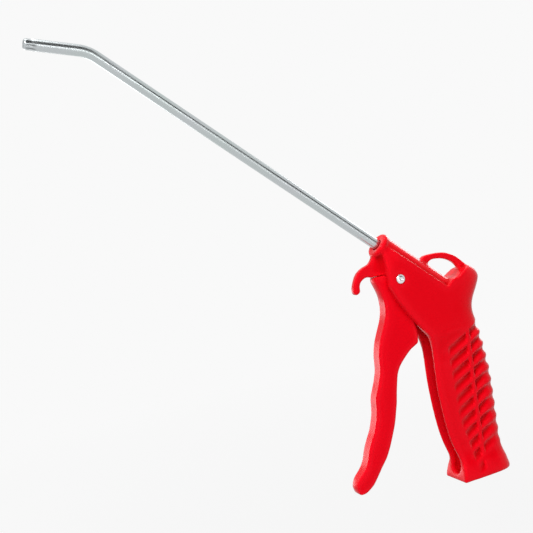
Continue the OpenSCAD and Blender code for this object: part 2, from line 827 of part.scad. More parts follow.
// Seat with a groove round it for its sealing ring
module valve_seat() {
    ring_d = cage_bore_d - 2 * fixed_gap;
    color([0.80, 0.66, 0.34])
        difference() {
            along_valve(seat_x, seat_t - fixed_gap, ring_d);
            along_valve(seat_x - overrun, 2 * overrun, seat_bore_d);
            translate([seat_x + seat_t / 2, 0, valve_z])
                rotate([0, 90, 0])
                    rotate_extrude()
                        translate([ring_d / 2 - seat_groove, -seat_groove / 2])
                            square([2 * seat_groove, seat_groove]);
        }
}

module seat_o_ring() {
    color([0.08, 0.08, 0.09])
        translate([seat_x + seat_t / 2, 0, valve_z])
            rotate([0, 90, 0])
                o_ring(cage_bore_d / 2 - fixed_gap - seat_groove / 2, seat_groove - 2 * fixed_gap);
}

// Steel stem: domed end at the lever, thin tail through the seat into the poppet
module valve_stem() {
    tail_x = cage_x + cage_len / 12;
    tail_end_x = poppet_x + 0.8 * poppet_t;
    color([0.78, 0.79, 0.81])
        translate([stem_tip_x, 0, valve_z])
            rotate([0, 90, 0])
                rotate_extrude() {
                    intersection() {
                        translate([0, stem_d / 2])
                            circle(d = stem_d);
                        square(stem_d / 2);
                    }
                    translate([0, stem_d / 2])
                        square([stem_d / 2, tail_x - stem_tip_x - stem_d / 2]);
                    translate([0, stem_d / 2])
                        square([stem_tail_d / 2, tail_end_x - stem_tip_x - stem_d / 2]);
                }
}

// Poppet with a spigot that centres the spring
module poppet() {
    spigot_d = spring_d - spring_wire_d - 4 * running_gap;
    color([0.90, 0.90, 0.86])
        difference() {
            union() {
                along_valve(poppet_x, poppet_t, poppet_d);
                along_valve(poppet_x, 1.5 * poppet_t, spigot_d);
            }
            along_valve(poppet_x - poppet_t, 1.8 * poppet_t + fixed_gap, stem_tail_d + 2 * fixed_gap);
        }
}

module poppet_seal() {
    color([0.12, 0.12, 0.13])
        difference() {
            along_valve(seal_x, seal_t, poppet_d);
            along_valve(seal_x - seal_t, 3 * seal_t, stem_tail_d + 2 * fixed_gap);
        }
}

// Coil spring: a round wire swept along a helix, with flat closed ends
module valve_spring() {
    sides = 6;
    rings = 16;
    mid_r = spring_d / 2;
    wire_r = spring_wire_d / 2;
    span = spring_len - spring_wire_d;
    steps = spring_turns * rings;
    color([0.70, 0.72, 0.75])
        translate([spring_x + wire_r, 0, valve_z])
            rotate([0, 90, 0])
                loft([
                    for (i = [0:steps])
                        let (turn = 360 * i / rings)
                        [
                            for (j = [0:sides - 1])
                                let (
                                    a = 360 * j / sides,
                                    r = mid_r + wire_r * cos(a)
                                )
                                [r * cos(turn), r * sin(turn), span * i / steps - wire_r * sin(a)]
                        ]
                ]);
}

housing();
lever();
pivot_rivet();
rivet_washer();
nozzle_tube();
nozzle_ferrule();
nozzle_o_ring();
inlet_insert();
valve_gland();
gland_o_ring();
stem_o_ring();
stem_washer();
valve_cage();
valve_seat();
seat_o_ring();
valve_stem();
poppet();
poppet_seal();
valve_spring();
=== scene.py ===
import bpy
import bmesh
import json
import numpy as np
from math import cos, pi, radians, sin
from mathutils import Matrix, Vector

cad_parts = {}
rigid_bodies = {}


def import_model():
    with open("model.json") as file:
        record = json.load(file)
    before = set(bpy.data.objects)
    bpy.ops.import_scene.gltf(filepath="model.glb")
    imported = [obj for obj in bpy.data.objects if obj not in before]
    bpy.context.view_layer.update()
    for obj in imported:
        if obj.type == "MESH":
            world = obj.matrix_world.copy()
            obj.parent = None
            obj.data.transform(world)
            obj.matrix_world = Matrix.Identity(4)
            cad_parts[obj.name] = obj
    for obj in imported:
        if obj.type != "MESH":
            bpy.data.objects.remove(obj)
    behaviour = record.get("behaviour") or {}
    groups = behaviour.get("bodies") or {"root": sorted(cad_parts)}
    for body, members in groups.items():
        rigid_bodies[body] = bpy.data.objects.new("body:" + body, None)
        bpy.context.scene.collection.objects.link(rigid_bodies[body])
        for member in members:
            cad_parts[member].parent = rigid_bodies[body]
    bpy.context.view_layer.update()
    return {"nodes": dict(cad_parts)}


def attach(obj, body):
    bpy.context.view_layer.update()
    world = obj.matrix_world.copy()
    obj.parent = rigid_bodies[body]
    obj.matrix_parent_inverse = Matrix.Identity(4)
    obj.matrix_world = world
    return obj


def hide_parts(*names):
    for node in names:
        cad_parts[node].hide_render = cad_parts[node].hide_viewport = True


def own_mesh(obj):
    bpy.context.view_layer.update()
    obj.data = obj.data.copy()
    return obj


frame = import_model()
scene = bpy.context.scene
MM = 0.001

# ---------------------------------------------------------------- sizes, in metres
PIVOT = Vector((-34.3, 0, 125.3)) * MM
BARREL = radians(42.5)
BACK = Vector((cos(BARREL), 0, -sin(BARREL)))
RISE = Vector((sin(BARREL), 0, cos(BARREL)))
MOUTH = PIVOT - 19.3 * MM * BACK + 11.05 * MM * RISE
TUBE_R = 3.0 * MM
TUBE_WALL = 0.9 * MM
TUBE_RUN = 189 * MM
TIP_RUN = 31.5 * MM
TIP_BEND = radians(28.3)
BEND_R = 20 * MM
VALVE_Z = 113.5 * MM
# Radius of the painted contact shadow round the rivet
RIVET_SHADOW_R = 2.8 * MM
FLOOR_Z = -0.09

# ---------------------------------------------------------------- sizes, in millimetres
MOUTH_STEP = 2.2        # depth of the step in the barrel's mouth
BARREL_END = 15.5       # depth of the barrel's bore, where the tube starts
RIB_PITCH = 7.55
TOP_CREST_Z = 86.8
GRIP_TURN_X = 7.0       # the back of the grip is round about this line
GRIP_TURN_R = 7.5
GRIP_VIEW = 22          # how far the view of the grip reaches in front of that line
GRIP_TOP = 94
GRID = 0.5
STRIPE_LEAN, STRIPE_X = 0.0475, -0.75
CHANNEL_REACH = 4.8     # the lever's channel lies inside this distance from the middle
INSERT_TOP, INSERT_REACH = 10, 8.05
FOOT_BAND = 14          # the foot's flare, which is drawn straight


# ---------------------------------------------------------------- camera
CAMERA_AT = Vector((-0.2925, -0.4700, 0.1977))
CAMERA_LOOK = Vector((0.3623, 0.9270, -0.0966)).normalized()
CAMERA_UP = Vector((0.2149, 0.0178, 0.9764))


def camera():
    data = bpy.data.cameras.new("camera")
    data.lens = 63.6
    data.sensor_width = 36.0
    data.clip_end = 20
    cam = bpy.data.objects.new("camera", data)
    scene.collection.objects.link(cam)
    right = CAMERA_LOOK.cross(CAMERA_UP).normalized()
    m = Matrix((right, right.cross(CAMERA_LOOK), -CAMERA_LOOK)).transposed().to_4x4()
    m.translation = CAMERA_AT
    cam.matrix_world = m
    scene.camera = cam


camera()


# ---------------------------------------------------------------- shader helpers
def link(tree, out, into):
    tree.links.new(out, into)


def put(tree, value, socket):
    """Links another node's output to a socket, or sets the socket to a plain value."""
    if isinstance(value, bpy.types.NodeSocket):
        link(tree, value, socket)
    else:
        socket.default_value = value


def shader_group(name, inputs, outputs):
    """An empty shader group with named sockets, and its two end nodes."""
    tree = bpy.data.node_groups.new(name, "ShaderNodeTree")
    for kind, label, value in inputs:
        s = tree.interface.new_socket(label, in_out="INPUT", socket_type="NodeSocket" + kind)
        if value is not None:
            s.default_value = value
    for kind, label in outputs:
        tree.interface.new_socket(label, in_out="OUTPUT", socket_type="NodeSocket" + kind)
    return tree, tree.nodes.new("NodeGroupInput"), tree.nodes.new("NodeGroupOutput")


def maths(tree, kind, a, b=None, clamp=False):
    n = tree.nodes.new("ShaderNodeMath")
    n.operation = kind
    n.use_clamp = clamp
    put(tree, a, n.inputs[0])
    if b is not None:
        put(tree, b, n.inputs[1])
    return n.outputs[0]


def noise(tree, where, scale, detail=3.0, rough=0.5):
    n = tree.nodes.new("ShaderNodeTexNoise")
    n.inputs["Detail"].default_value = detail
    n.inputs["Roughness"].default_value = rough
    link(tree, where, n.inputs["Vector"])
    put(tree, scale, n.inputs["Scale"])
    return n.outputs["Fac"]


def spread(tree, value, low, high, to_low=0.0, to_high=1.0):
    n = tree.nodes.new("ShaderNodeMapRange")
    for label, v in (("From Min", low), ("From Max", high), ("To Min", to_low), ("To Max", to_high)):
        n.inputs[label].default_value = v
    link(tree, value, n.inputs["Value"])
    return n.outputs["Result"]


def two_colours(tree, share, a, b):
    n = tree.nodes.new("ShaderNodeMix")
    n.data_type = "RGBA"
    link(tree, share, n.inputs["Factor"])
    put(tree, a, n.inputs["A"])
    put(tree, b, n.inputs["B"])
    return n.outputs["Result"]


# ---------------------------------------------------------------- shared shader groups
def make_mottle():
    """Slow drift of a colour over a surface, and the same drift as a value."""
    tree, a, z = shader_group(
        "slow_mottle",
        [("Vector", "Where", None), ("Color", "Colour", (1, 1, 1, 1)), ("Color", "Drift", (0, 0, 0, 1)),
         ("Float", "Scale", 60.0), ("Float", "Amount", 0.2)],
        [("Color", "Colour"), ("Float", "Value")],
    )
    value = spread(tree, noise(tree, a.outputs["Where"], a.outputs["Scale"], 4.0), 0.3, 0.7)
    share = maths(tree, "MULTIPLY", value, a.outputs["Amount"], clamp=True)
    link(tree, two_colours(tree, share, a.outputs["Colour"], a.outputs["Drift"]), z.inputs["Colour"])
    link(tree, value, z.inputs["Value"])
    return tree


def make_grain():
    """Fine moulded or tumbled grain, as a height, with a coarser ripple under it."""
    tree, a, z = shader_group(
        "fine_grain",
        [("Vector", "Where", None), ("Float", "Scale", 2500.0), ("Float", "Ripple", 0.4)],
        [("Float", "Height")],
    )
    fine = noise(tree, a.outputs["Where"], a.outputs["Scale"], 2.0)
    broad = noise(tree, a.outputs["Where"], 160.0, 1.0)
    lifted = maths(tree, "MULTIPLY", broad, a.outputs["Ripple"])
    link(tree, maths(tree, "ADD", fine, lifted), z.inputs["Height"])
    return tree


def make_form():
    """Reads how much a moulded surface stands out or sinks in, for a painted highlight and rubbed gloss
    on crests and painted shade in hollows.
    """
    tree, a, z = shader_group(
        "crests_and_hollows",
        [("Float", "Form", 0.0), ("Float", "Crest at", 0.12), ("Float", "Hollow at", 0.35)],
        [("Float", "Crest"), ("Float", "Hollow")],
    )
    out = maths(tree, "MULTIPLY", a.outputs["Form"], -1.0)
    for label, form in (("Crest", out), ("Hollow", a.outputs["Form"])):
        share = maths(tree, "DIVIDE", form, a.outputs[label + " at"], clamp=True)
        link(tree, share, z.inputs[label])
    return tree


def make_streaks():
    """Drawn or turned lines, from coordinates that are stretched beforehand."""
    tree, a, z = shader_group(
        "drawn_lines",
        [("Vector", "Where", None), ("Float", "Scale", 1.0)],
        [("Float", "Value"), ("Float", "Height")],
    )
    lines = noise(tree, a.outputs["Where"], a.outputs["Scale"], 3.0, 0.6)
    link(tree, spread(tree, lines, 0.3, 0.7), z.inputs["Value"])
    link(tree, lines, z.inputs["Height"])
    return tree


MOTTLE, GRAIN, FORM, STREAKS = make_mottle(), make_grain(), make_form(), make_streaks()


def blank_material(name, rough, metal=0.0, specular=0.5):
    m = bpy.data.materials.new(name)
    m.use_nodes = True
    b = m.node_tree.nodes["Principled BSDF"]
    b.inputs["Roughness"].default_value = rough
    b.inputs["Metallic"].default_value = metal
    b.inputs["Specular IOR Level"].default_value = specular
    return m, m.node_tree, b


def place_group(tree, group, **values):
    n = tree.nodes.new("ShaderNodeGroup")
    n.node_tree = group
    for label, v in values.items():
        put(tree, v, n.inputs[label.replace("_", " ")])
    return n


def add_bump(tree, shader, height, strength, depth):
    n = tree.nodes.new("ShaderNodeBump")
    n.inputs["Strength"].default_value = strength
    n.inputs["Distance"].default_value = depth
    link(tree, height, n.inputs["Height"])
    link(tree, n.outputs[0], shader.inputs["Normal"])


def object_place(tree, turn=(0, 0, 0), scale=(1, 1, 1), shift=(0, 0, 0)):
    c = tree.nodes.new("ShaderNodeTexCoord")
    m = tree.nodes.new("ShaderNodeMapping")
    m.inputs["Location"].default_value = shift
    m.inputs["Rotation"].default_value = turn
    m.inputs["Scale"].default_value = scale
    link(tree, c.outputs["Object"], m.inputs["Vector"])
    return m.outputs["Vector"]


def piece_value(tree, name, vector=False):
    n = tree.nodes.new("ShaderNodeAttribute")
    n.attribute_name = name
    return n.outputs["Vector" if vector else "Fac"]


# ---------------------------------------------------------------- materials
def rivet_contact_shadow(tree):
    """A painted contact shadow: a thin dark line where the moulding meets the rivet's washer."""
    c = tree.nodes.new("ShaderNodeTexCoord")
    parts = tree.nodes.new("ShaderNodeSeparateXYZ")
    link(tree, c.outputs["Object"], parts.inputs[0])
    across = maths(tree, "SUBTRACT", parts.outputs["X"], PIVOT.x)
    up = maths(tree, "SUBTRACT", parts.outputs["Z"], PIVOT.z)
    squares = [maths(tree, "POWER", v, 2.0) for v in (across, up)]
    away = maths(tree, "SQRT", maths(tree, "ADD", *squares))
    off = maths(tree, "ABSOLUTE", maths(tree, "SUBTRACT", away, RIVET_SHADOW_R))
    outside = spread(tree, maths(tree, "ABSOLUTE", parts.outputs["Y"]), 7.0 * MM, 7.5 * MM)
    return maths(tree, "MULTIPLY", spread(tree, off, 0.12 * MM, 0.34 * MM, 1.0, 0.0), outside)


def moulded_red(name, colour, drift_and_shade, lit, rough):
    """Glossy red plastic: a painted highlight and rubbed gloss on the crests, painted shade in the
    hollows and a painted contact shadow round the rivet.
    """
    m, t, b = blank_material(name, rough)
    b.inputs["Specular Tint"].default_value = (1.0, 0.02, 0.05, 1)
    where = object_place(t)
    form = place_group(t, FORM, Form=piece_value(t, "form"), Crest_at=0.10, Hollow_at=0.34)
    tint = place_group(t, MOTTLE, Where=where, Colour=colour, Drift=drift_and_shade, Scale=38.0, Amount=0.10)
    # Painted shade: the hollows, and the ring round the rivet, are darkened towards the darker red
    painted_shade = maths(t, "MULTIPLY", form.outputs["Hollow"], 0.75)
    painted_shade = maths(t, "MAXIMUM", painted_shade, rivet_contact_shadow(t))
    body = two_colours(t, painted_shade, tint.outputs["Colour"], drift_and_shade)
    # Painted highlight: the crests are lightened towards the lit red
    crest_highlight = maths(t, "MULTIPLY", form.outputs["Crest"], 0.30)
    link(t, two_colours(t, crest_highlight, body, lit), b.inputs["Base Color"])
    worn = maths(t, "MULTIPLY", form.outputs["Crest"], -0.06)
    patchy = spread(t, noise(t, where, 220.0), 0.3, 0.7, rough - 0.03, rough + 0.05)
    link(t, maths(t, "ADD", patchy, worn), b.inputs["Roughness"])
    grain = place_group(t, GRAIN, Where=where, Scale=2600.0, Ripple=0.5)
    add_bump(t, b, grain.outputs["Height"], 0.16, 0.06 * MM)
    return m


def zinc_plate(name, colour, drift, rough, mapped):
    """Drawn and plated steel: mapped lines and painted shade in the crimped creases on the tube, plain
    ones on wire.
    """
    m, t, b = blank_material(name, rough, metal=1.0)
    if mapped:
        along = t.nodes.new("ShaderNodeMapping")
        along.inputs["Scale"].default_value = (1, 1, 0.012)
        link(t, piece_value(t, "tube_place", vector=True), along.inputs["Vector"])
        lines = place_group(t, STREAKS, Where=along.outputs["Vector"], Scale=2200.0)
    else:
        lines = place_group(t, STREAKS, Where=object_place(t, scale=(1, 0.06, 1)), Scale=2200.0)
    where = object_place(t)
    tint = place_group(t, MOTTLE, Where=where, Colour=colour, Drift=drift, Scale=45.0, Amount=0.55)
    bright = maths(t, "MULTIPLY", lines.outputs["Value"], 0.07)
    body = two_colours(t, bright, tint.outputs["Colour"], (0.92, 0.95, 0.95, 1))
    if mapped:
        # Painted shade: the crimped folds at the jet are darkened nearly to black
        crease = maths(t, "MULTIPLY", piece_value(t, "crease"), 0.9)
        body = two_colours(t, crease, body, (0.05, 0.05, 0.05, 1))
    link(t, body, b.inputs["Base Color"])
    link(t, spread(t, lines.outputs["Value"], 0, 1, rough - 0.04, rough + 0.08), b.inputs["Roughness"])
    add_bump(t, b, lines.outputs["Height"], 0.05, 0.03 * MM)
    return m


def turned_metal(name, colour, drift, rough, axis_turn):
    """Turned brass or steel: rings square to the axis of the lathe."""
    m, t, b = blank_material(name, rough, metal=1.0)
    where = object_place(t, turn=axis_turn, scale=(0.08, 0.08, 1))
    rings = place_group(t, STREAKS, Where=where, Scale=5200.0)
    tint = place_group(t, MOTTLE, Where=object_place(t), Colour=colour, Drift=drift, Scale=160.0,
                       Amount=0.6)
    dull = maths(t, "MULTIPLY", rings.outputs["Value"], 0.25)
    link(t, two_colours(t, dull, tint.outputs["Colour"], drift), b.inputs["Base Color"])
    link(t, spread(t, rings.outputs["Value"], 0, 1, rough - 0.05, rough + 0.12), b.inputs["Roughness"])
    add_bump(t, b, rings.outputs["Height"], 0.2, 0.04 * MM)
    return m


def even_plastic(name, colour, lit, rough):
    """Rubber or plain plastic: a dull, even colour with a fine grain."""
    m, t, b = blank_material(name, rough, specular=0.35)
    where = object_place(t)
    tint = place_group(t, MOTTLE, Where=where, Colour=colour, Drift=lit, Scale=300.0, Amount=0.6)
    link(t, tint.outputs["Colour"], b.inputs["Base Color"])
    link(t, spread(t, tint.outputs["Value"], 0, 1, rough - 0.08, rough + 0.1), b.inputs["Roughness"])
    grain = place_group(t, GRAIN, Where=where, Scale=4200.0, Ripple=0.3)
    add_bump(t, b, grain.outputs["Height"], 0.3, 0.05 * MM)
    return m


# Turns that bring each axis of the part to the Z axis of the turned rings
ALONG_X, ALONG_Y, ALONG_Z = (0, radians(-90), 0), (radians(90), 0, 0), (0, 0, 0)

# Each red: its own colour, a darker red for the slow drift and the painted shade in the hollows, and a
# lighter red for the painted highlight on crests
RED = moulded_red("red_moulding", (0.76, 0.0006, 0.0062, 1), (0.40, 0.0008, 0.0010, 1),
                  (0.86, 0.010, 0.022, 1), 0.30)
LEVER_RED = moulded_red("red_lever", (0.79, 0.0007, 0.0075, 1), (0.42, 0.0008, 0.0012, 1),
                        (0.90, 0.012, 0.026, 1), 0.28)
ZINC = zinc_plate("zinc_tube", (0.50, 0.555, 0.55, 1), (0.56, 0.565, 0.60, 1), 0.24, mapped=True)
RIVET = turned_metal("rivet_steel", (0.86, 0.86, 0.87, 1), (0.72, 0.73, 0.75, 1), 0.26, ALONG_Y)
BRASS = turned_metal("turned_brass", (0.78, 0.60, 0.30, 1), (0.62, 0.45, 0.20, 1), 0.26, ALONG_Z)
# Painted shade: the ferrule's brass is made near black and stands for the shade in the barrel's mouth
# round the tube
BRASS_PAINTED_DARK = turned_metal("brass_painted_dark", (0.20, 0.17, 0.12, 1), (0.12, 0.10, 0.08, 1), 0.45, ALONG_Z)
VALVE_BRASS = turned_metal("valve_brass", (0.76, 0.58, 0.29, 1), (0.60, 0.43, 0.19, 1), 0.28, ALONG_X)
STEEL = turned_metal("stem_steel", (0.70, 0.71, 0.72, 1), (0.60, 0.61, 0.63, 1), 0.22, ALONG_X)
SPRING = zinc_plate("spring_wire", (0.60, 0.61, 0.63, 1), (0.52, 0.53, 0.55, 1), 0.28, mapped=False)
RUBBER = even_plastic("black_rubber", (0.018, 0.018, 0.019, 1), (0.035, 0.035, 0.036, 1), 0.55)
ACETAL = even_plastic("white_acetal", (0.72, 0.71, 0.66, 1), (0.62, 0.61, 0.56, 1), 0.4)


# ---------------------------------------------------------------- mesh helpers
WELD = 2e-6
FACE_LIMIT = 198000     # triangles in a moulded skin
# How near a bore's wall a point must be to be set back, and how that fades to the sides and ends
BORE_NEAR, BORE_FADE, BORE_END = 0.9 * MM, 0.3 * MM, 0.5 * MM


def add_object(name, mesh):
    o = bpy.data.objects.new(name, mesh)
    scene.collection.objects.link(o)
    return o


def finished_mesh(o):
    """The object's mesh with its modifiers taken in."""
    bpy.context.view_layer.update()
    evaluated = o.evaluated_get(bpy.context.evaluated_depsgraph_get())
    mesh = bpy.data.meshes.new_from_object(evaluated)
    o.modifiers.clear()
    o.data = mesh
    return mesh


def merged_copy(node, name):
    mesh = frame["nodes"][node].data.copy()
    mesh.name = name
    b = bmesh.new()
    b.from_mesh(mesh)
    bmesh.ops.remove_doubles(b, verts=b.verts, dist=WELD)
    b.to_mesh(mesh)
    b.free()
    mesh.materials.clear()
    return add_object(name, mesh)


def net_of(mesh):
    """A mesh's points and edges as arrays, and how many edges meet at each point."""
    p = np.empty(len(mesh.vertices) * 3)
    mesh.vertices.foreach_get("co", p)
    e = np.empty(len(mesh.edges) * 2, dtype=np.int64)
    mesh.edges.foreach_get("vertices", e)
    count = np.bincount(e, minlength=len(mesh.vertices)).astype(float)
    return p.reshape(-1, 3), e.reshape(-1, 2), count


def neighbour_mean(p, e, count):
    total = np.empty_like(p)
    a, b = e[:, 0], e[:, 1]
    for k in range(p.shape[1]):
        total[:, k] = np.bincount(a, p[b, k], len(p)) + np.bincount(b, p[a, k], len(p))
    return total / count[:, None]


def set_points(mesh, p):
    mesh.vertices.foreach_set("co", p.ravel())
    mesh.update()


def normals_of(mesh, p):
    """The mesh's normals once its points are at p."""
    set_points(mesh, p)
    n = np.empty(len(p) * 3)
    mesh.vertex_normals.foreach_get("vector", n)
    return n.reshape(-1, 3)


def keep_bores(p, n, bores):
    """Sets the wall of each bore back to its true radius after smoothing."""
    for start, end, r in bores:
        a = np.array(start)
        d = np.array(end) - a
        length = np.linalg.norm(d)
        d /= length
        v = p - a
        h = v @ d
        out = v - h[:, None] * d
        dist = np.linalg.norm(out, axis=1)
        facing = -np.einsum("ij,ij->i", n, out) / np.maximum(dist, 1e-9)
        near = np.clip((BORE_NEAR - abs(dist - r)) / BORE_FADE, 0, 1)
        share = np.clip((facing - 0.35) / 0.35, 0, 1) * near
        inside = np.clip(h / BORE_END + 0.5, 0, 1) * np.clip((length - h) / BORE_END + 0.5, 0, 1)
        share *= inside
        p += (share * (r / np.maximum(dist, 1e-9) - 1))[:, None] * out
    return p


def ramp(v, low, high):
    t = np.clip((v - low) / (high - low), 0, 1)
    return t * t * (3 - 2 * t)


def evened(line, passes):
    """A row of values, each drawn towards its two neighbours again and again."""
    for _ in range(passes):
        line[1:-1] = (line[:-2] + 2 * line[1:-1] + line[2:]) / 4
    return line


def grip_view(p):
    """Places on the grip's skin: how far round from the turning line, height, stand-out, and
    whether the place is on the outer skin and not in the channel or the insert's bore."""
    x, y, z = p[:, 0] / MM, abs(p[:, 1]) / MM, p[:, 2] / MM
    turned_part = x > GRIP_TURN_X
    reach = np.where(turned_part, np.hypot(x - GRIP_TURN_X, y), y)
    round_by = GRIP_TURN_R * np.arctan2(x - GRIP_TURN_X, y)
    outer = (reach > CHANNEL_REACH) & ((z > INSERT_TOP) | (np.hypot(x, y) > INSERT_REACH))
    return np.where(turned_part, round_by, x - GRIP_TURN_X), z, reach, outer


def stripe_place(z):
    """Place of the smooth stripe between the two columns of hollows."""
    return STRIPE_LEAN * z + STRIPE_X - GRIP_TURN_X


def skin_grid(p):
    """How far the grip's outer skin stands out, as a grid over its view with the gaps filled."""
    s, z, reach, outer = grip_view(p)
    use = outer & (s > -GRIP_VIEW) & (z > 0) & (z < GRIP_TOP)
    i, j = np.round((s[use] + GRIP_VIEW) / GRID).astype(int), np.round(z[use] / GRID).astype(int)
    shape = (i.max() + 1, j.max() + 1)
    hits, total = np.zeros(shape), np.zeros(shape)
    np.add.at(hits, (i, j), 1)
    np.add.at(total, (i, j), reach[use])
    grid = total / np.maximum(hits, 1)
    for _ in range(12):
        near_hits, near = np.zeros(shape), np.zeros(shape)
        for a, b in ((1, 0), (-1, 0), (0, 1), (0, -1)):
            near_hits += np.roll(hits > 0, (a, b), (0, 1))
            near += np.roll(grid * (hits > 0), (a, b), (0, 1))
        fill = (hits == 0) & (near_hits > 0)
        grid[fill] = near[fill] / near_hits[fill]
        hits[fill] = 1
    return grid


def skin_without_hollows(p):
    """The grip's outer skin as a grid over its view, with every hollow bridged from rib to rib."""
    grid = skin_grid(p)
    rows, columns = grid.shape
    heights = np.arange(columns) * GRID
    stripe = np.round((stripe_place(heights) + GRIP_VIEW) / GRID).astype(int)
    plain = evened(grid[stripe, np.arange(columns)], 8)
    rounds = np.arange(rows) * GRID - GRIP_VIEW
    flare = (1 - 0.45 * ramp(rounds, 0, 10))[:, None] * plain[None, :]
    grid = grid - flare
    half = int(round(0.58 * RIB_PITCH / GRID))
    for pick in (np.max, np.min):
        wide = np.pad(grid, ((0, 0), (half, half)), mode="edge")
        grid = pick([wide[:, k:k + columns] for k in range(2 * half + 1)], axis=0)
    foot = int(round(FOOT_BAND / GRID))
    low, high = grid[:, 1:2], grid[:, foot:foot + 1]
    line = low + (high - low) * heights[None, :foot] / FOOT_BAND
    grid[:, :foot] = np.maximum(grid[:, :foot], line)
    for _ in range(3):
        wide = np.pad(grid, 1, mode="edge")
        grid = (wide[:-2, 1:-1] + wide[2:, 1:-1] + wide[1:-1, :-2] + wide[1:-1, 2:] + 2 * grid) / 6
    return grid + flare


# The mouth's lip, in mm: radius of the bead's crest, and the lip's reach in from it before and after
BEAD_R, LIP_OLD, LIP_NEW = 5.4, 1.18, 2.1
LIP_FROM, LIP_R = 3.6, 3.22     # the smallest radius that is moved, and the smallest it may reach


def close_mouth(p):
    """Draws the lip of the barrel's mouth in, close round the tube."""
    back = np.array(BACK)
    v = p - np.array(MOUTH)
    depth = v @ back
    out = v - depth[:, None] * back
    r = np.maximum(np.linalg.norm(out, axis=1) / MM, 1e-6)
    wanted = np.maximum(BEAD_R - (BEAD_R - r) * LIP_NEW / LIP_OLD, LIP_R)
    share = (1 - ramp(depth / MM, 0.9, 1.7)) * (depth > -1.5 * MM) * (r < BEAD_R) * (r > LIP_FROM)
    return p + (share * (wanted / r - 1))[:, None] * out


# The hollows, row by row from the top: how long the leaf is in front, in mm, and how much of the
# depth is left behind
LEAF_LENGTHS = ((0, 2, 4, 8, 9, 10), (17, 15.5, 13, 10.5, 8, 4.5))
REAR_SHARES = ((0, 7, 9, 10), (1, 1, 0.6, 0))
FRONT_DEPTH, REAR_DEPTH, LAST_ROW = 1.6, 1.75, 10


def rib_hollow(s, z):
    """Depth of the leaf-shaped hollows between the ribs at a place on the grip's view, in mm."""
    d = s - stripe_place(z)
    front = d < 0
    rise = np.where(front, 0.42 * d, 0.55 * d - 0.016 * d * d)
    below = (TOP_CREST_Z - z + rise) / RIB_PITCH
    row = np.floor(below)
    q = below - row
    across = ramp(q, 0.0, 0.40) * (1 - ramp(q, 0.48, 0.96))
    length = np.interp(row, *LEAF_LENGTHS)
    out = abs(d)
    leaf = ramp(out, 0.7, 1.9) * np.clip(1 - (np.maximum(out - 1.9, 0) / length) ** 1.3, 0, 1)
    ahead = FRONT_DEPTH * leaf * np.where(row >= LAST_ROW, 0.6, 1)
    band = ramp(out, 0.7, 1.7) * (1 - 0.55 * ramp(out, 5, 11))
    behind = REAR_DEPTH * band * np.interp(row, *REAR_SHARES)
    return np.where(front, ahead, behind) * across * ((row >= 0) & (row <= LAST_ROW))


def recut_ribs(raw, p):
    """Moves the grip's skin to the bridged skin, less the leaf-shaped hollows."""
    grid = skin_without_hollows(raw)
    s, z, reach, outer = grip_view(p)
    u = np.clip((s + GRIP_VIEW) / GRID, 0, grid.shape[0] - 1.001)
    v = np.clip(z / GRID, 0, grid.shape[1] - 1.001)
    i, j = u.astype(int), v.astype(int)
    a, b = u - i, v - j
    low = (1 - b) * grid[i, j] + b * grid[i, j + 1]
    high = (1 - b) * grid[i + 1, j] + b * grid[i + 1, j + 1]
    skin = (1 - a) * low + a * high
    limit = -12.5 - 4.5 * ramp(z, 12, 40)
    share = ramp(s, limit - 2, limit) * ramp(z, 0.8, 1.8) * (1 - ramp(z, 88, 91)) * outer
    wanted = reach + share * (skin - rib_hollow(s, z) - reach)
    k = wanted / np.maximum(reach, 1e-6)
    x, turn_x = p[:, 0], GRIP_TURN_X * MM
    x = np.where(x / MM > GRIP_TURN_X, turn_x + k * (x - turn_x), x)
    return close_mouth(np.column_stack((x, k * p[:, 1], p[:, 2])))


# The lever, in mm: how far its front face is pushed out at each height, and its two small details
FACE_PUSH = ((14, 27, 45, 67, 87, 105, 114), (0.4, 1.3, 1.1, 1.2, 0.5, 0.2, 0))
GROOVE_DEPTH, NOSE_LIFT = 0.22, 0.35


def shape_lever(_raw, p):
    """Squares the lever's front face, with a fine groove beside it on each cheek, and lifts its
    nose close up to the hook that covers it."""
    x, y, z = p[:, 0] / MM, p[:, 1] / MM, p[:, 2] / MM
    heights = np.arange(0.5, 140)
    front = np.full(len(heights), np.inf)
    middle = abs(y) < 1.2
    np.minimum.at(front, np.clip(z[middle].astype(int), 0, len(heights) - 1), x[middle])
    known = np.isfinite(front)
    front = evened(np.interp(heights, heights[known], front[known]), 2)
    behind = x - np.interp(z, heights, front)
    part = ramp(z, 16, 22) * (1 - ramp(z, 112, 120))
    flat = part * (1 - ramp(abs(y), 3.3, 3.85)) * (1 - ramp(behind, 1.6, 2.6))
    push = np.interp(z, *FACE_PUSH)
    moved = x - flat * behind - push * (1 - ramp(behind, 1.2, 6.0))
    groove = GROOVE_DEPTH * part * np.clip(1 - abs(behind - 1.3) / 0.6, 0, 1) * (abs(y) > 3.6)
    lift = NOSE_LIFT * ramp(z, 126.3, 127.3) * ramp(-x, 37.6, 38.8)
    return np.column_stack((moved, y - np.sign(y) * groove, z + lift)) * MM


def store_form(mesh):
    """Keeps at each point how far the surface sinks in from its wide average, in mm."""
    p, e, count = net_of(mesh)
    wide = p.copy()
    for _ in range(45):
        wide += 0.6 * (neighbour_mean(wide, e, count) - wide)
    form = np.einsum("ij,ij->i", wide - p, normals_of(mesh, p)) / MM
    for _ in range(3):
        form = neighbour_mean(form[:, None], e, count)[:, 0]
    mesh.attributes.new("form", "FLOAT", "POINT").data.foreach_set("value", form)


